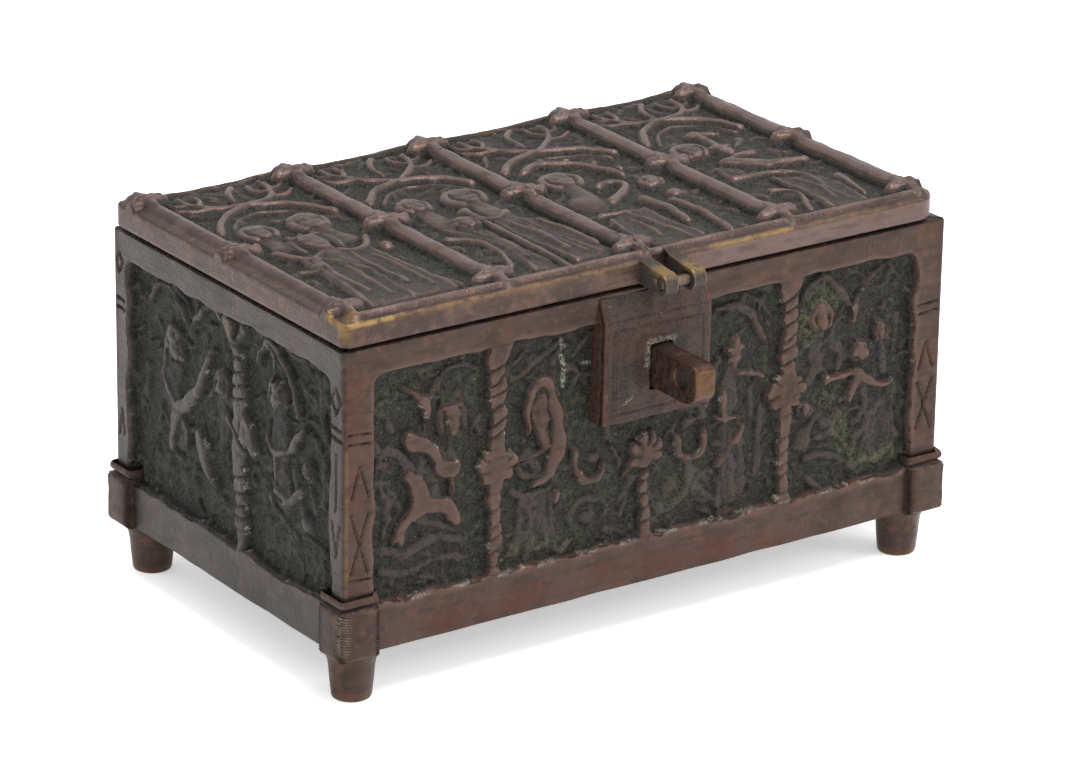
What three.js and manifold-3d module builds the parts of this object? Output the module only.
// Reliquary casket in cast bronze: a hollow box on four feet with relief panels, and a hinged, ribbed lid.
// Millimetres, +Z up, front towards -Y. The origin is the bottom centre of the whole part's box.
import * as THREE from "three";
import { mergeVertices } from "three/addons/utils/BufferGeometryUtils.js";
import Module from "manifold-3d";

const wasm = await Module();
wasm.setup();

// Box
const BODY_LENGTH = 132;
const BODY_DEPTH = 78;
const FOOT_HEIGHT = 9.4;
const RAIL_BOTTOM = 9.7;
const RIM_HEIGHT = 66.9;
const WALL = 4.7;
const FLOOR_THICKNESS = 2.4;
const PANEL_RECESS = 2.3;
const FRONT_PILASTER = 6.5;
const SIDE_PILASTER = 4.6;
const PANEL_BOTTOM = 18.2;
const PANEL_TOP = 61.5;

// Corner blocks and feet
const BLOCK_LENGTH = 7.2;
const BLOCK_DEPTH = 6.5;
const BLOCK_OUTSET = 1.5;
const MOULDING_OUTSET = 1.1;
const NOTCH_OUTSET = 0.5;
const FOOT_INSET = 4.7;
const FOOT_SIDES = 10;
const FOOT_PROFILE = [
  [3.6, 0],
  [4.2, 6],
  [4.6, 8],
  [5.2, FOOT_HEIGHT],
];

// Lid
const LID_LEFT = -66;
const LID_RIGHT = 64.4;
const LID_FRONT = -39;
const LID_BACK = 38.4;
const LID_BOTTOM = 67.4;
const LID_EDGE_TOP = 72.1;
const LID_GROUND = 70.9;
const LID_HOLLOW = 1.3;
const LID_BORDER = 5.5;
const LID_CORNER = 4.5;
const NICHE_FRONT = -36.4;
const NICHE_BACK = 37.1;
const RIB_CENTRES = [-62.3, -30.9, -0.9, 31.6, 61.0];
const RIB_WIDTH = 2.1;
const RIB_HEIGHT = 2.1;
const KNOB_WIDTH = 3.2;
const KNOB_HEIGHT = 3.1;
const KNOB_PLACES = [-32.4, 1.6, 33.4];

// Lock plate, staple and the ears of the lost hasp
const PLATE_LEFT = -12.4;
const PLATE_RIGHT = 11.2;
const PLATE_BOTTOM = 42.4;
const PLATE_SHOULDER = 61.8;
const PLATE_PROUD = 1.9;
const STAPLE_CENTRE = 0.1;
const STAPLE_WIDTH = 4.2;
const STAPLE_REACH = 13.4;
const STAPLE_LOW = 48.1;
const STAPLE_HIGH = 55.9;
const STAPLE_EYE = 1.9;
const CLEARANCE = 0.35;
const EAR_WIDTH = 2.8;
const EAR_GAP = 3.4;
const EAR_CENTRE = 0.9;
const EAR_RADIUS = 2.1;
const EAR_REACH = 5.8;
const EAR_AXIS_HEIGHT = 69.1;
const PIN_RADIUS = 1.0;

// Rear hinge
const HINGE_CENTRES = [-38, 38];
const PIVOT_Y = 42;
const PIVOT_Z = 67.1;
const KNUCKLE_RADIUS = 2.3;
const LID_KNUCKLE = 5;
const BODY_KNUCKLE = 4;

// Relief
const EMBED = 0.6;
const LIMB_SECTION = [
  [-1, 0],
  [-0.45, 1],
  [0.45, 1],
  [1, 0],
];
const FOLD_SECTION = [
  [-1, 0],
  [0, 1],
  [1, 0],
];
const FOLD_WIDTH = 1;
const RIB_SECTION = [
  [-1, 0],
  [-0.62, 0.85],
  [0, 1],
  [0.62, 0.85],
  [1, 0],
];

const degrees = THREE.MathUtils.degToRad;

// ---- Solids ----

// A closed solid from corners and triangles, turned face out.
function closed(corners, triangles) {
  const geometry = new THREE.BufferGeometry();
  geometry.setAttribute("position", new THREE.Float32BufferAttribute(corners.flat(), 3));
  geometry.setIndex(triangles.flat());
  return solidOf(geometry);
}

// A three.js geometry as a solid.
function solidOf(geometry, matrix = new THREE.Matrix4()) {
  const bare = new THREE.BufferGeometry();
  bare.setAttribute("position", geometry.getAttribute("position").clone());
  if (geometry.index) bare.setIndex(geometry.index.clone());
  bare.applyMatrix4(matrix);
  const merged = mergeVertices(bare, 1e-4);
  const vertProperties = new Float32Array(merged.getAttribute("position").array);
  const triVerts = new Uint32Array(merged.index.array);
  if (enclosed(vertProperties, triVerts) < 0) {
    triVerts.reverse();
  }
  return new wasm.Manifold(new wasm.Mesh({ numProp: 3, vertProperties, triVerts }));
}

// Six times the volume inside a triangle mesh, negative when its faces point inwards.
function enclosed(points, triangles) {
  const corner = (i) => new THREE.Vector3().fromArray(points, triangles[i] * 3);
  let sum = 0;
  for (let i = 0; i < triangles.length; i += 3) {
    sum += corner(i).dot(corner(i + 1).cross(corner(i + 2)));
  }
  return sum;
}

// All solids joined into one, in pairs so that no step is large.
function join(solids) {
  let list = solids;
  while (list.length > 1) {
    const next = [];
    for (let i = 0; i < list.length; i += 2) {
      next.push(i + 1 < list.length ? list[i].add(list[i + 1]) : list[i]);
    }
    list = next;
  }
  return list[0];
}

function box(x0, x1, y0, y1, z0, z1) {
  const geometry = new THREE.BoxGeometry(x1 - x0, y1 - y0, z1 - z0);
  const place = new THREE.Matrix4().makeTranslation((x0 + x1) / 2, (y0 + y1) / 2, (z0 + z1) / 2);
  return solidOf(geometry, place);
}

// An outline in the Y-Z plane, extruded along X from x0 to x1.
function sidePlate(outline, x0, x1) {
  const shape = new THREE.Shape(outline.map(([y, z]) => new THREE.Vector2(y, z)));
  const geometry = new THREE.ExtrudeGeometry(shape, { depth: x1 - x0, bevelEnabled: false });
  const turn = new THREE.Matrix4().makeBasis(
    new THREE.Vector3(0, 1, 0),
    new THREE.Vector3(0, 0, 1),
    new THREE.Vector3(1, 0, 0),
  );
  turn.setPosition(x0, 0, 0);
  return solidOf(geometry, turn);
}

// A round bar along X, as a prism whose corners lie on the radius.
function barAlongX(x0, x1, y, z, radius, sides = 8) {
  const geometry = new THREE.CylinderGeometry(radius, radius, x1 - x0, sides);
  const turn = new THREE.Matrix4().makeRotationZ(Math.PI / 2);
  turn.setPosition((x0 + x1) / 2, y, z);
  return solidOf(geometry, turn);
}

// ---- Relief: u across the panel, v up it, n out of its ground ----

// Points on a smooth curve through a few places.
function smooth(places, steps) {
  const curve = new THREE.CatmullRomCurve3(places.map(([u, v]) => new THREE.Vector3(u, v, 0)));
  return curve.getPoints(steps).map((p) => [p.x, p.y]);
}

// A ridge along stations of [u, v, half width, height], with pointed ends.
function loft(stations, section = LIMB_SECTION) {
  const corners = [];
  const triangles = [];
  const count = section.length;
  const last = stations.length - 1;
  const way = (i) => {
    const a = stations[Math.max(0, i - 1)];
    const b = stations[Math.min(last, i + 1)];
    return new THREE.Vector2(b[0] - a[0], b[1] - a[1]).normalize();
  };
  stations.forEach(([u, v, width, height], i) => {
    const along = way(i);
    for (const [side, lift] of section) {
      const n = lift === 0 ? -EMBED : lift * height;
      corners.push([u - along.y * width * side, v + along.x * width * side, n]);
    }
  });
  for (let i = 0; i < last; i += 1) {
    for (let k = 0; k < count; k += 1) {
      const a = i * count + k;
      const b = i * count + ((k + 1) % count);
      triangles.push([a, b, b + count], [a, b + count, a + count]);
    }
  }
  for (const [end, sign] of [[0, -1], [last, 1]]) {
    const along = way(end);
    const [u, v, width] = stations[end];
    const tip = corners.length;
    corners.push([u + along.x * width * sign, v + along.y * width * sign, -EMBED]);
    for (let k = 0; k < count; k += 1) {
      const a = end * count + k;
      const b = end * count + ((k + 1) % count);
      triangles.push(sign < 0 ? [tip, b, a] : [tip, a, b]);
    }
  }
  return closed(corners, triangles);
}

// A ridge of one height along a path, with its half width going from startWidth to endWidth.
// A narrow one comes to an edge, a broad one has a flat top.
function ridge(path, startWidth, endWidth, height) {
  const section = startWidth < FOLD_WIDTH ? FOLD_SECTION : LIMB_SECTION;
  const width = (i) => THREE.MathUtils.lerp(startWidth, endWidth, i / (path.length - 1));
  return loft(path.map(([u, v], i) => [u, v, width(i), height]), section);
}

// A domed boss with an elliptic outline. A petal share above zero makes its outline lobed.
function boss(u, v, across, up, height, sides = 6, petal = 0) {
  const rings = [
    [1, -EMBED],
    [0.8, height * 0.62],
  ];
  const corners = [];
  const triangles = [];
  rings.forEach(([spread, n]) => {
    for (let k = 0; k < sides; k += 1) {
      const angle = (2 * Math.PI * k) / sides;
      const lobe = spread * (1 - (k % 2) * petal);
      corners.push([u + across * lobe * Math.cos(angle), v + up * lobe * Math.sin(angle), n]);
    }
  });
  corners.push([u, v, height], [u, v, -EMBED]);
  const top = 2 * sides;
  for (let k = 0; k < sides; k += 1) {
    const next = (k + 1) % sides;
    triangles.push([k, next, sides + next], [k, sides + next, sides + k]);
    triangles.push([sides + k, sides + next, top], [next, k, top + 1]);
  }
  return closed(corners, triangles);
}

// An arc of an ellipse as a ridge, angles in degrees anticlockwise from +u.
function bow(u, v, across, up, from, to, width, height, steps = 3) {
  const path = [];
  for (let i = 0; i <= steps; i += 1) {
    const angle = degrees(THREE.MathUtils.lerp(from, to, i / steps));
    path.push([u + across * Math.cos(angle), v + up * Math.sin(angle)]);
  }
  return ridge(path, width, width, height);
}

// A pointed arch from springing to springing.
function pointedArch(left, right, spring, apex, width, height) {
  const middle = (left + right) / 2;
  const haunch = spring + (apex - spring) * 0.62;
  const inset = (middle - left) * 0.45;
  const path = [[left, spring], [left + inset, haunch], [middle, apex], [right - inset, haunch], [right, spring]];
  return ridge(path, width, width, height);
}

// A cusp shaped like a Y, hanging from the top of a bay.
function pendant(u, v, spread, rise, stem) {
  return [
    ridge([[u, v], [u, v + stem]], 0.95, 0.9, 1.4),
    ridge([[u - spread, v + stem + rise], [u, v + stem], [u + spread, v + stem + rise]], 0.8, 0.8, 1.2),
  ];
}

// A head with its hair, hood or crown. Size is half the height of the face.
function head(u, v, size, style = "hair") {
  const solids = [boss(u, v, size * 0.78, size, 1.7)];
  if (style === "crown") {
    solids.push(ridge([[u - size * 0.8, v + size * 0.9], [u + size * 0.8, v + size * 0.9]], 0.6, 0.6, 1.9));
  }
  if (style === "hood") {
    solids.push(bow(u, v, size * 1.15, size * 1.2, -30, 210, size * 0.3, 1.3));
  }
  if (style === "beard") {
    solids.push(boss(u, v - size * 1.35, size * 0.5, size * 0.9, 1.3, 6));
  }
  return solids;
}

// A polar step from a place: an angle in degrees from straight down, positive towards +u.
function step([u, v], angle, length) {
  return [u + length * Math.sin(degrees(angle)), v - length * Math.cos(degrees(angle))];
}

// A standing, sitting or leaping figure, on proportions of a set number of heads.
// hip: place of the hips. tall: standing height. lean: the spine's tilt towards +u.
// arms, legs: [upper, lower] angles from straight down. robe: { hem, folds, sway } in place of legs.
function figure({ hip, tall, lean = 0, style = "hair", arms = [], legs = [], robe, relief = 1.5 }) {
  const unit = tall / 6.5;
  const shoulders = step(hip, 180 - lean, unit * 2);
  const crown = step(shoulders, 180 - lean, unit * 0.95);
  const solids = [
    ...head(crown[0], crown[1], unit * 0.62, style),
    ridge([hip, shoulders], unit * 0.62, unit * 0.85, relief),
  ];
  arms.forEach(([upper, lower]) => {
    const elbow = step(shoulders, upper, unit * 1.3);
    const hand = step(elbow, lower, unit * 1.2);
    solids.push(ridge([shoulders, elbow, hand], unit * 0.46, unit * 0.3, relief * 0.9));
  });
  legs.forEach(([upper, lower]) => {
    const knee = step(hip, upper, unit * 1.6);
    const ankle = step(knee, lower, unit * 1.5);
    solids.push(ridge([hip, knee, ankle], unit * 0.6, unit * 0.32, relief * 0.9));
  });
  if (robe) {
    for (let i = 0; i < robe.folds; i += 1) {
      const share = i / (robe.folds - 1) - 0.5;
      const foot = [hip[0] + share * robe.hem + robe.sway, hip[1] - unit * 3];
      solids.push(ridge([[hip[0] + share * unit, hip[1]], foot], unit * 0.26, unit * 0.4, relief * 0.85));
    }
  }
  return solids;
}

// Near-upright folds of cloth between two heights.
function folds(left, right, top, bottom, count, slant, width = 0.6, height = 1) {
  const solids = [];
  for (let i = 0; i < count; i += 1) {
    const u = THREE.MathUtils.lerp(left, right, i / Math.max(1, count - 1));
    const drop = (top - bottom) * (i % 2 === 0 ? 1 : 0.8);
    solids.push(ridge([[u, top], [u + slant, top - drop]], width * 0.8, width, height));
  }
  return solids;
}

// A twisted colonnette with a leafy knot, a splayed foot and a head that flares into the rail.
function colonnette(u, top, knot) {
  const rise = 4.4;
  const stations = [[u, 0.6, 2.4, 1.7], [u, 2.6, 1.5, 1.8]];
  const shaft = (from, to, width) => {
    const count = Math.round((to - from) / rise);
    for (let i = 0; i <= count; i += 1) {
      const swell = i % 2 === 0 ? 0.9 : 1.12;
      const sway = i % 2 === 0 ? -0.15 : 0.15;
      stations.push([u + sway, THREE.MathUtils.lerp(from, to, i / count), width * swell, 1.9]);
    }
  };
  shaft(4.4, knot - 5.6, 1.5);
  stations.push([u, knot - 3.2, 3, 2.2], [u - 0.2, knot - 0.6, 4.2, 2.4], [u + 0.2, knot + 2, 3.8, 2.4]);
  shaft(knot + 4.6, top - 4.6, 1.9);
  stations.push([u, top - 0.6, 3.6, 2]);
  return loft(stations);
}

// ---- Panels ----

// The matrix that puts panel axes u and v and its outward normal in the part's frame.
function panelFrame(origin, across, up) {
  const out = new THREE.Vector3().crossVectors(across, up);
  const frame = new THREE.Matrix4().makeBasis(across, up, out);
  return frame.setPosition(origin);
}

function place(solids, frame) {
  return join(solids).transform(frame.elements);
}

const FRONT_PANEL = BODY_LENGTH - 2 * FRONT_PILASTER;
const SIDE_PANEL = BODY_DEPTH - 2 * SIDE_PILASTER;
const PANEL_HEIGHT = PANEL_TOP - PANEL_BOTTOM;
const FRONT_COLUMNS = [26, 58.6, 90.2];

function frontRelief() {
  const [first, middle, third] = FRONT_COLUMNS;
  return [
    colonnette(first, PANEL_HEIGHT, 20.2),
    colonnette(third, PANEL_HEIGHT, 21.3),
    // The short colonnette under the lock plate, with a fan of leaves for a capital.
    loft([[middle, 1, 1.6, 1.6], [middle, 4, 1.1, 1.8], [middle, 8.4, 1.3, 1.9], [middle, 12.8, 1.2, 1.9]]),
    boss(middle, 16.6, 4.4, 4.6, 1.9, 10, 0.22),
    // First bay: a leaping figure with a club under a cusp, and a crowned head.
    ...pendant(11.2, 31.8, 4.2, 5.4, 2.4),
    ...head(17.1, 30.6, 2.3, "crown"),
    ...figure({ hip: [9.8, 19.4], tall: 22, lean: -48, arms: [[-20, -60]], legs: [[-30, -34], [62, 60]] }),
    ridge([[7.6, 29], [15.4, 23.4]], 1.5, 1, 1.6),
    boss(16.2, 22.2, 1.9, 1.9, 1.7, 6),
    bow(11, 3, 9, 5, 20, 160, 0.7, 0.8, 4),
    // Second bay: a veiled figure under slanting vault ribs, and a crescent.
    ridge([[28.4, 35.8], [40, 41.4]], 0.7, 0.7, 0.9),
    ridge([[29, 32.6], [38.4, 37.4]], 0.6, 0.6, 0.9),
    boss(36, 28.4, 2.3, 4.3, 1.8),
    ridge(smooth([[33, 32.6], [36.4, 35.2], [39.6, 31.6], [40.4, 24], [37.4, 14.6]], 5), 0.9, 0.8, 1.6),
    bow(34.4, 20.6, 4.4, 4.2, 190, 330, 0.8, 1.2, 4),
    ...folds(30.6, 40, 14, 2.4, 3, -0.6, 0.8),
    bow(45.2, 19, 3.5, 3.8, 150, 370, 1.1, 1.4, 4),
    boss(46.6, 8.4, 2.4, 2.6, 1.3),
    // Third bay: a belted figure in a cap, and a scroll.
    bow(76.6, 31.4, 8.6, 9, 10, 110, 0.7, 1),
    ...figure({
      hip: [78, 18.6], tall: 27, lean: -2, style: "hood", arms: [[70, 100], [-30, 10]],
      robe: { hem: 6.4, folds: 3, sway: -0.4 },
    }),
    bow(69.2, 16.4, 3.4, 3.6, 150, 380, 1.1, 1.4, 4),
    bow(66, 5, 5, 4.4, 10, 170, 1, 1.1, 4),
    // Fourth bay: arches with a cusp, a head in profile, a dancing child and a seated figure.
    bow(98.2, 34.4, 5.4, 6, 15, 175, 0.7, 1, 4),
    ...pendant(106, 32, 4.4, 4.4, 3.4),
    bow(113.6, 35, 4.4, 5.6, 5, 120, 0.6, 0.9, 3),
    ...head(98.5, 33.6, 2.5, "hood"),
    ...figure({
      hip: [106.4, 18.4], tall: 17, lean: 6, arms: [[-84, -96], [66, 100]], legs: [[-22, -6], [34, 22]],
    }),
    ...figure({ hip: [96.4, 9], tall: 17, lean: -14, style: "hood", arms: [[50, 80]], legs: [[70, 20]] }),
    ...head(113.2, 29, 1.8),
    ...folds(111, 115, 14, 3, 2, 0.8, 0.7, 0.8),
  ];
}

function leftRelief() {
  const middle = 38;
  return [
    colonnette(middle, PANEL_HEIGHT, 22.4),
    // Rear bay: a figure with raised arms between two cusped arches, a round drum and a small head.
    ...pendant(20.4, 34.4, 7.6, 4.8, 1.6),
    bow(9.6, 36, 4, 5.4, 60, 190, 0.7, 1, 4),
    ...figure({
      hip: [15.6, 17.6], tall: 24, lean: -4, style: "beard",
      arms: [[100, 150], [-80, -100]], legs: [[-14, -2], [30, -10]],
    }),
    boss(25.2, 14.6, 2.8, 2.9, 1.7),
    ridge([[26, 12.4], [30.6, 8]], 0.9, 0.6, 1.2),
    ...head(31.4, 29.2, 2.1, "hood"),
    bow(14, 3, 8, 5, 20, 160, 0.8, 0.8, 4),
    // Front bay: a crowned, seated figure under a bold arch, and a staff.
    ridge(smooth([[44.4, 38.6], [49, 42], [53.4, 39.2], [57, 30]], 4), 0.8, 0.8, 1.3),
    ...figure({
      hip: [51.6, 19.4], tall: 24, lean: -4, style: "crown", arms: [[-20, 60], [50, 110]], legs: [[70, 10], [-10, 0]],
    }),
    bow(56, 19, 6.4, 5.6, 190, 350, 1, 1.4),
    ...folds(49.6, 61.4, 11, 3, 4, 0.6, 0.8, 1),
    ...head(60.6, 22.4, 1.8),
    ridge([[64.4, 34.6], [66.4, 27.6]], 0.7, 0.7, 1.2),
    ridge([[64.6, 25.6], [64.8, 17]], 0.8, 0.8, 1.1),
  ];
}

// The plainer back and right side: an arch and one robed figure in each bay, with colonnettes between.
function plainBays(count, length) {
  const solids = [];
  const bay = length / count;
  for (let i = 1; i < count; i += 1) {
    solids.push(colonnette(bay * i, PANEL_HEIGHT, 21));
  }
  for (let i = 0; i < count; i += 1) {
    const centre = bay * (i + 0.5);
    const facing = i % 2 === 0 ? 1 : -1;
    solids.push(pointedArch(centre - 10.4, centre + 10.4, 31, 41, 0.8, 1));
    solids.push(...figure({
      hip: [centre, 17.4], tall: 27, lean: 3 * facing, style: i % 2 === 0 ? "hair" : "crown",
      arms: [[50 * facing, 120 * facing]], robe: { hem: 6.4, folds: 3, sway: 0.6 * facing },
    }));
  }
  return solids;
}

// ---- Lid relief: u from the bay's left rib, v from the front of the lid ----

// What every niche of the lid shares: an arch, a steep gable over it and a finial of leaves.
function niche(width, lift) {
  const centre = width / 2 - 0.4;
  return [
    pointedArch(3.2, width - 4, 51.6, 60 + lift, 1.1, 1.2),
    pointedArch(4.6, width - 5, 57.6, 66.4 + lift, 0.7, 1),
    ridge([[centre + 3, 71.8], [centre, 69.4], [centre - 4.6, 71]], 0.8, 0.8, 1),
  ];
}

const LID_SCENES = [
  // Three heads over a draped figure that holds out a ball.
  () => [
    ...head(8.7, 46, 2.6),
    ...head(19.7, 46.6, 2.9, "beard"),
    ...head(14.5, 36.4, 3.2, "crown"),
    ridge(smooth([[15, 31], [21, 31.4], [24, 36]], 3), 1.3, 1, 1.2),
    boss(25, 29.8, 1.8, 1.8, 1.4, 6),
    ridge(smooth([[5.6, 36.4], [8.6, 30], [13.4, 25.6], [15.4, 15]], 3), 1.1, 1, 1.1),
    ridge([[4.8, 26], [12, 21.4]], 0.8, 0.8, 0.9),
    ...folds(8, 22.4, 23, 4.5, 4, -0.4, 0.8, 1),
  ],
  // A hooded figure with a long staff beside a second head.
  () => [
    ...head(8.6, 43.6, 2.4),
    ...head(19.5, 42.4, 3, "hood"),
    boss(19.5, 36.4, 1.6, 3, 1.1, 6),
    ridge([[15.2, 35.6], [14.6, 2]], 0.9, 0.9, 1.3),
    ...head(12.4, 31, 2),
    ridge(smooth([[4.4, 27], [8.4, 22.6], [8.6, 15.6], [6.4, 9]], 3), 1, 0.8, 1.1),
    ...folds(17.4, 24, 28, 6, 4, 0.8, 0.8, 1.1),
    ridge([[12, 22], [10.6, 7]], 0.8, 0.8, 0.9),
  ],
  // A leafy branch in the arch over a figure with a crooked arm and long legs.
  () => [
    ridge(smooth([[6.6, 49.6], [12, 51.6], [18, 47.4], [22, 39.6]], 3), 1.1, 0.8, 1.2),
    ...head(9.7, 41, 2.8, "hood"),
    boss(7.6, 30, 4, 4.8, 1.3),
    ridge(smooth([[11, 27.6], [15.4, 30], [18.8, 33.4], [15, 36.2]], 3), 1.4, 1, 1.3),
    ridge(smooth([[16.8, 25.6], [18.4, 18.6], [17, 11.6]], 2), 1.4, 1.1, 1.3),
    ridge(smooth([[21.2, 22.4], [22.4, 14.4], [20.8, 3.8]], 2), 1.2, 1, 1.2),
    ridge(smooth([[9.8, 22], [11.6, 12.6], [12.6, 3]], 2), 0.9, 0.8, 1),
    ridge([[5.4, 23], [12, 21]], 0.9, 0.8, 0.9),
    boss(24.6, 26.4, 1.9, 2.2, 1.2, 6),
  ],
  // A bird-necked creature over a figure that reaches to the right, and hanging cloth.
  () => [
    boss(14.2, 50, 2.3, 1.9, 1.3, 6),
    ridge([[14.8, 48], [14, 42]], 1.1, 1.2, 1.2),
    ...head(7.6, 42.4, 2.5),
    ...head(13.6, 39, 1.9),
    ridge(smooth([[11, 34.8], [14.4, 36.4], [18, 36.2]], 2), 1.2, 1, 1.2),
    ridge([[11, 34], [16, 29.2]], 2, 1.7, 1.4),
    ridge([[16, 29], [22.6, 28.4]], 1.3, 1, 1.2),
    boss(23.4, 28.5, 1.7, 1.5, 1.4, 6),
    ridge(smooth([[5.6, 26], [14.6, 25], [18, 20.6], [17.4, 15]], 3), 1.1, 1, 1.1),
    ridge(smooth([[7.6, 17.6], [11, 13.2], [7.8, 5.4]], 3), 0.9, 0.8, 1),
    ridge([[23.2, 17.6], [21.2, 6.8]], 1.1, 0.9, 1),
  ],
];

// ---- Pieces ----

// A stack of rectangles over one corner of the box, each wider than the box by its outset.
function cornerStack(signX, signY) {
  const levels = [
    [FOOT_HEIGHT - 0.2, BLOCK_OUTSET - 0.4],
    [FOOT_HEIGHT + 0.3, BLOCK_OUTSET],
    [18.6, BLOCK_OUTSET],
    [19, NOTCH_OUTSET],
    [19.4, MOULDING_OUTSET],
    [20.7, MOULDING_OUTSET],
    [21.5, -0.2],
  ];
  const corners = [];
  const triangles = [];
  levels.forEach(([z, outset]) => {
    const outX = signX * (BODY_LENGTH / 2 + outset);
    const outY = signY * (BODY_DEPTH / 2 + outset);
    const inX = signX * (BODY_LENGTH / 2 - BLOCK_LENGTH);
    const inY = signY * (BODY_DEPTH / 2 - BLOCK_DEPTH);
    corners.push([outX, outY, z], [inX, outY, z], [inX, inY, z], [outX, inY, z]);
  });
  const last = (levels.length - 1) * 4;
  for (let i = 0; i < last; i += 4) {
    for (let k = 0; k < 4; k += 1) {
      const a = i + k;
      const b = i + ((k + 1) % 4);
      triangles.push([a, b, b + 4], [a, b + 4, a + 4]);
    }
  }
  triangles.push([0, 2, 1], [0, 3, 2], [last, last + 1, last + 2], [last, last + 2, last + 3]);
  return closed(corners, triangles);
}

function foot(signX, signY) {
  const profile = [[0, 0], ...FOOT_PROFILE, [0, FOOT_HEIGHT + 1]];
  const geometry = new THREE.LatheGeometry(profile.map(([r, z]) => new THREE.Vector2(r, z)), FOOT_SIDES);
  const turn = new THREE.Matrix4().makeRotationX(Math.PI / 2);
  turn.setPosition(signX * (BODY_LENGTH / 2 - FOOT_INSET), signY * (BODY_DEPTH / 2 - FOOT_INSET), 0);
  return solidOf(geometry, turn);
}

// A hinge knuckle: a round eye on the pivot and a neck that reaches into the piece in front of it.
function knuckle(x0, x1, neckFront, neckLow, neckHigh) {
  const eye = barAlongX(x0, x1, PIVOT_Y, PIVOT_Z, KNUCKLE_RADIUS);
  const neck = box(x0, x1, neckFront, PIVOT_Y, neckLow, neckHigh);
  return eye.add(neck);
}

function hingeHoles() {
  return HINGE_CENTRES.map((x) => barAlongX(x - 8, x + 8, PIVOT_Y, PIVOT_Z, PIN_RADIUS + CLEARANCE));
}

function bodyKnuckles() {
  const reach = LID_KNUCKLE / 2 + CLEARANCE;
  return HINGE_CENTRES.flatMap((x) => [-1, 1].map((side) => {
    const inner = x + side * reach;
    const outer = x + side * (reach + BODY_KNUCKLE);
    const low = Math.min(inner, outer);
    const high = Math.max(inner, outer);
    return knuckle(low, high, BODY_DEPTH / 2 - 0.6, PIVOT_Z - 2.2, RIM_HEIGHT - 0.1);
  }));
}

function lockPlate() {
  const face = -BODY_DEPTH / 2 - PLATE_PROUD;
  const outline = [
    [-BODY_DEPTH / 2 + PANEL_RECESS + 0.8, PLATE_BOTTOM],
    [face + 0.4, PLATE_BOTTOM],
    [face, PLATE_BOTTOM + 0.5],
    [face, PLATE_SHOULDER],
    [-BODY_DEPTH / 2 - 0.2, RIM_HEIGHT - 0.7],
    [-BODY_DEPTH / 2 + PANEL_RECESS + 0.8, RIM_HEIGHT - 0.7],
  ];
  return sidePlate(outline, PLATE_LEFT, PLATE_RIGHT);
}

function staplePocket() {
  const half = STAPLE_WIDTH / 2 + CLEARANCE;
  const face = -BODY_DEPTH / 2 - PLATE_PROUD;
  return box(
    STAPLE_CENTRE - half, STAPLE_CENTRE + half, face - 1, face + 3.4,
    STAPLE_LOW - CLEARANCE, STAPLE_HIGH + CLEARANCE,
  );
}

function casketBody() {
  const halfX = BODY_LENGTH / 2;
  const halfY = BODY_DEPTH / 2;
  const floorTop = RAIL_BOTTOM + FLOOR_THICKNESS;
  const frontHalf = FRONT_PANEL / 2;
  const sideHalf = SIDE_PANEL / 2;
  const corners = [[-1, -1], [1, -1], [-1, 1], [1, 1]];
  const block = join([
    box(-halfX, halfX, -halfY, halfY, RAIL_BOTTOM, RIM_HEIGHT),
    ...corners.map(([x, y]) => cornerStack(x, y)),
    ...corners.map(([x, y]) => foot(x, y)),
  ]);
  const hollow = join([
    box(-halfX + WALL, halfX - WALL, -halfY + WALL, halfY - WALL, floorTop, RIM_HEIGHT + 5),
    box(-frontHalf, frontHalf, -halfY - 5, -halfY + PANEL_RECESS, PANEL_BOTTOM, PANEL_TOP),
    box(-frontHalf, frontHalf, halfY - PANEL_RECESS, halfY + 5, PANEL_BOTTOM, PANEL_TOP),
    box(-halfX - 5, -halfX + PANEL_RECESS, -sideHalf, sideHalf, PANEL_BOTTOM, PANEL_TOP),
    box(halfX - PANEL_RECESS, halfX + 5, -sideHalf, sideHalf, PANEL_BOTTOM, PANEL_TOP),
  ]);
  const x = new THREE.Vector3(1, 0, 0);
  const y = new THREE.Vector3(0, 1, 0);
  const z = new THREE.Vector3(0, 0, 1);
  const at = (px, py) => new THREE.Vector3(px, py, PANEL_BOTTOM);
  const front = panelFrame(at(-frontHalf, -halfY + PANEL_RECESS), x, z);
  const back = panelFrame(at(frontHalf, halfY - PANEL_RECESS), x.clone().negate(), z);
  const left = panelFrame(at(-halfX + PANEL_RECESS, sideHalf), y.clone().negate(), z);
  const right = panelFrame(at(halfX - PANEL_RECESS, -sideHalf), y, z);
  const whole = join([
    block.subtract(hollow),
    place(frontRelief(), front),
    place(plainBays(4, FRONT_PANEL), back),
    place(leftRelief(), left),
    place(plainBays(2, SIDE_PANEL), right),
    lockPlate(),
    ...bodyKnuckles(),
  ]);
  return whole.subtract(join([staplePocket(), ...hingeHoles()]));
}

// The slab of the lid: straight at the front left corner, rounded at the others.
function slab(z0, z1) {
  const shape = new THREE.Shape();
  shape.moveTo(LID_LEFT + 1, LID_FRONT);
  shape.lineTo(LID_RIGHT - LID_CORNER, LID_FRONT);
  shape.absarc(LID_RIGHT - LID_CORNER, LID_FRONT + LID_CORNER, LID_CORNER, -Math.PI / 2, 0);
  shape.absarc(LID_RIGHT - LID_CORNER, LID_BACK - LID_CORNER, LID_CORNER, 0, Math.PI / 2);
  shape.absarc(LID_LEFT + LID_CORNER, LID_BACK - LID_CORNER, LID_CORNER, Math.PI / 2, Math.PI);
  shape.lineTo(LID_LEFT, LID_FRONT + 1);
  const geometry = new THREE.ExtrudeGeometry(shape, { depth: z1 - z0, bevelEnabled: false, curveSegments: 4 });
  return solidOf(geometry, new THREE.Matrix4().makeTranslation(0, 0, z0));
}

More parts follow.
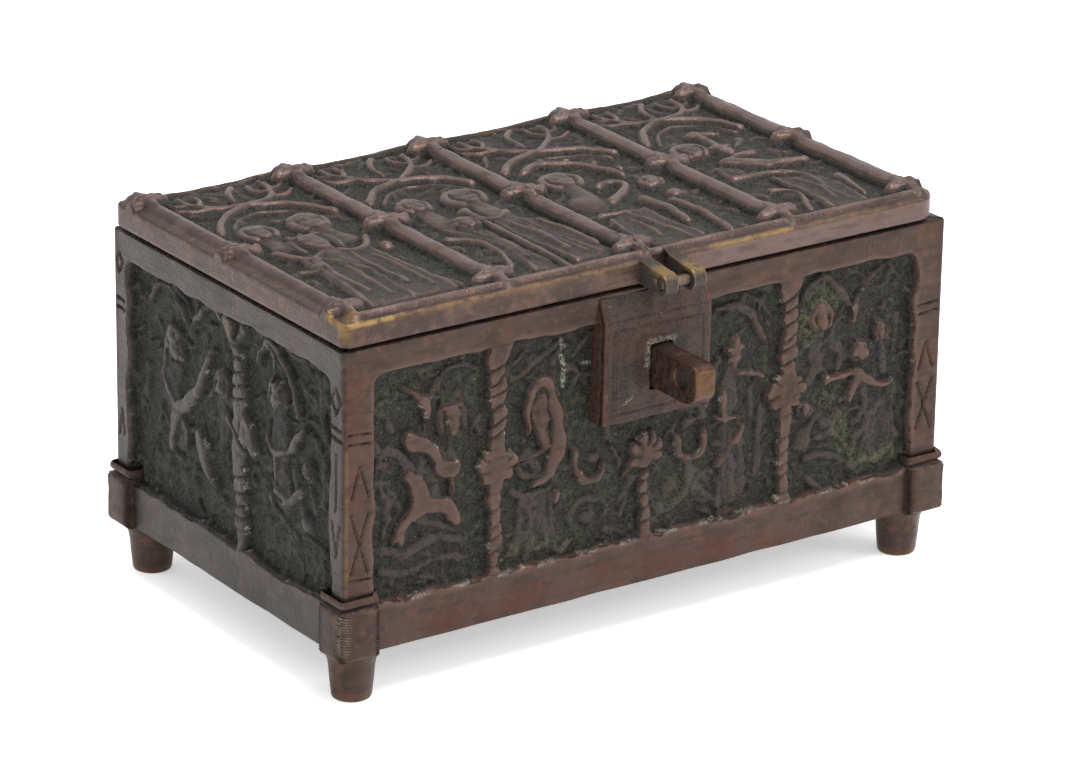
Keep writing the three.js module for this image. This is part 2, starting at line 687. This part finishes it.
// A round rib of the lid from front to back, with its three knobs.
function rib(x) {
  const stations = [[x, NICHE_FRONT, RIB_WIDTH, RIB_HEIGHT]];
  for (const y of KNOB_PLACES) {
    stations.push([x, y - 3.6, RIB_WIDTH, RIB_HEIGHT], [x, y - 1.4, KNOB_WIDTH, KNOB_HEIGHT]);
    stations.push([x, y + 1.4, KNOB_WIDTH, KNOB_HEIGHT], [x, y + 3.6, RIB_WIDTH, RIB_HEIGHT]);
  }
  return loft(stations, RIB_SECTION);
}

// An ear for the hasp's pin: a tongue from the lid's front edge, with a round end.
function ear(x0) {
  const axisY = LID_FRONT - EAR_REACH;
  const outline = [[LID_FRONT + 0.8, LID_BOTTOM], [LID_FRONT + 0.8, LID_EDGE_TOP - 0.2]];
  for (let i = 0; i <= 6; i += 1) {
    const angle = degrees(80 + i * 32);
    outline.push([axisY + EAR_RADIUS * Math.cos(angle), EAR_AXIS_HEIGHT + EAR_RADIUS * Math.sin(angle)]);
  }
  return sidePlate(outline.reverse(), x0, x0 + EAR_WIDTH);
}

function casketLid() {
  const ground = panelFrame(
    new THREE.Vector3(0, 0, LID_GROUND),
    new THREE.Vector3(1, 0, 0),
    new THREE.Vector3(0, 1, 0),
  );
  const earLeft = EAR_CENTRE - EAR_GAP / 2 - EAR_WIDTH;
  const earRight = EAR_CENTRE + EAR_GAP / 2;
  const first = RIB_CENTRES[0];
  const last = RIB_CENTRES[RIB_CENTRES.length - 1];
  const blank = slab(LID_BOTTOM, LID_EDGE_TOP).subtract(join([
    box(first, last, NICHE_FRONT, NICHE_BACK, LID_GROUND, LID_EDGE_TOP + 1),
    box(
      LID_LEFT + LID_BORDER, LID_RIGHT - LID_BORDER, LID_FRONT + LID_BORDER, LID_BACK - LID_BORDER,
      LID_BOTTOM - 1, LID_BOTTOM + LID_HOLLOW,
    ),
    box(earLeft + EAR_WIDTH, earRight, LID_FRONT - 1, LID_FRONT + 1.5, LID_BOTTOM - 1, LID_EDGE_TOP + 1),
  ]));
  const relief = RIB_CENTRES.map((x) => rib(x));
  relief.push(ridge([[first, NICHE_FRONT - 0.3], [last, NICHE_FRONT - 0.3]], 0.9, 0.9, 2.1));
  LID_SCENES.forEach((scene, i) => {
    const bay = panelFrame(
      new THREE.Vector3(RIB_CENTRES[i], LID_FRONT + 1, 0),
      new THREE.Vector3(1, 0, 0),
      new THREE.Vector3(0, 1, 0),
    );
    const width = RIB_CENTRES[i + 1] - RIB_CENTRES[i];
    relief.push(place([...niche(width, i % 3 === 0 ? 1.6 : -1.4), ...scene()], bay));
  });
  const whole = join([
    blank,
    place(relief, ground),
    ear(earLeft),
    ear(earRight),
    ...HINGE_CENTRES.map((x) => knuckle(
      x - LID_KNUCKLE / 2, x + LID_KNUCKLE / 2, LID_BACK - 0.6, LID_BOTTOM + 0.2, PIVOT_Z + 2.2,
    )),
  ]);
  const pinHole = barAlongX(
    earLeft - 1, earRight + EAR_WIDTH + 1, LID_FRONT - EAR_REACH, EAR_AXIS_HEIGHT, PIN_RADIUS + CLEARANCE,
  );
  return whole.subtract(join([pinHole, ...hingeHoles()]));
}

function haspPin() {
  const left = EAR_CENTRE - EAR_GAP / 2 - EAR_WIDTH;
  const right = EAR_CENTRE + EAR_GAP / 2 + EAR_WIDTH;
  return barAlongX(left, right, LID_FRONT - EAR_REACH, EAR_AXIS_HEIGHT, PIN_RADIUS);
}

function hingePin(x) {
  const reach = LID_KNUCKLE / 2 + CLEARANCE + BODY_KNUCKLE;
  return barAlongX(x - reach, x + reach, PIVOT_Y, PIVOT_Z, PIN_RADIUS);
}

// The pierced tongue: square at the root, its lower front corner rounded by an arc.
function padlockStaple() {
  const face = -BODY_DEPTH / 2 - PLATE_PROUD;
  const root = face + 3.4 - CLEARANCE;
  const tip = face - STAPLE_REACH;
  const arc = 4.2;
  const outline = [
    [root, STAPLE_LOW],
    [root, STAPLE_HIGH],
    [tip + 1, STAPLE_HIGH],
    [tip, STAPLE_HIGH - 1.6],
  ];
  for (let i = 0; i <= 4; i += 1) {
    const angle = degrees(180 + i * 22.5);
    outline.push([tip + arc + arc * Math.cos(angle), STAPLE_LOW + 2.8 + 2.8 * Math.sin(angle)]);
  }
  const low = STAPLE_CENTRE - STAPLE_WIDTH / 2;
  const high = STAPLE_CENTRE + STAPLE_WIDTH / 2;
  const eye = barAlongX(low - 1, high + 1, tip + 4.7, STAPLE_LOW + 4.4, STAPLE_EYE, 12);
  return sidePlate(outline.reverse(), low, high).subtract(eye);
}

// ---- Assembly ----

const BRONZE = new THREE.MeshStandardMaterial({ color: 0x4d4340, roughness: 0.5, metalness: 0.85 });
const LID_BRONZE = new THREE.MeshStandardMaterial({ color: 0x574a48, roughness: 0.45, metalness: 0.85 });
const STAPLE_BRONZE = new THREE.MeshStandardMaterial({ color: 0x5a3324, roughness: 0.5, metalness: 0.85 });
const PIN_BRONZE = new THREE.MeshStandardMaterial({ color: 0x6a5446, roughness: 0.4, metalness: 0.9 });

function meshOf(name, solid, material) {
  const made = solid.getMesh();
  const count = made.numProp;
  const points = new Float32Array(made.numVert * 3);
  for (let i = 0; i < made.numVert; i += 1) {
    points.set(made.vertProperties.subarray(i * count, i * count + 3), i * 3);
  }
  const geometry = new THREE.BufferGeometry();
  geometry.setAttribute("position", new THREE.BufferAttribute(points, 3));
  geometry.setIndex(new THREE.BufferAttribute(made.triVerts, 1));
  const mesh = new THREE.Mesh(geometry, material);
  mesh.name = name;
  return mesh;
}

const casket = new THREE.Group();
casket.add(meshOf("casket_body", casketBody(), BRONZE));
casket.add(meshOf("casket_lid", casketLid(), LID_BRONZE));
casket.add(meshOf("padlock_staple", padlockStaple(), STAPLE_BRONZE));
casket.add(meshOf("hasp_pin", haspPin(), PIN_BRONZE));
casket.add(meshOf("hinge_pin_left", hingePin(HINGE_CENTRES[0]), PIN_BRONZE));
casket.add(meshOf("hinge_pin_right", hingePin(HINGE_CENTRES[1]), PIN_BRONZE));

// The part's box runs from the staple's tip to the back of the hinge, so the casket sits off its middle.
const STAPLE_TIP = -BODY_DEPTH / 2 - PLATE_PROUD - STAPLE_REACH;
const HINGE_BACK = PIVOT_Y + KNUCKLE_RADIUS;
casket.position.y = -(STAPLE_TIP + HINGE_BACK) / 2;

const part = new THREE.Group();
part.add(casket);

export default part;
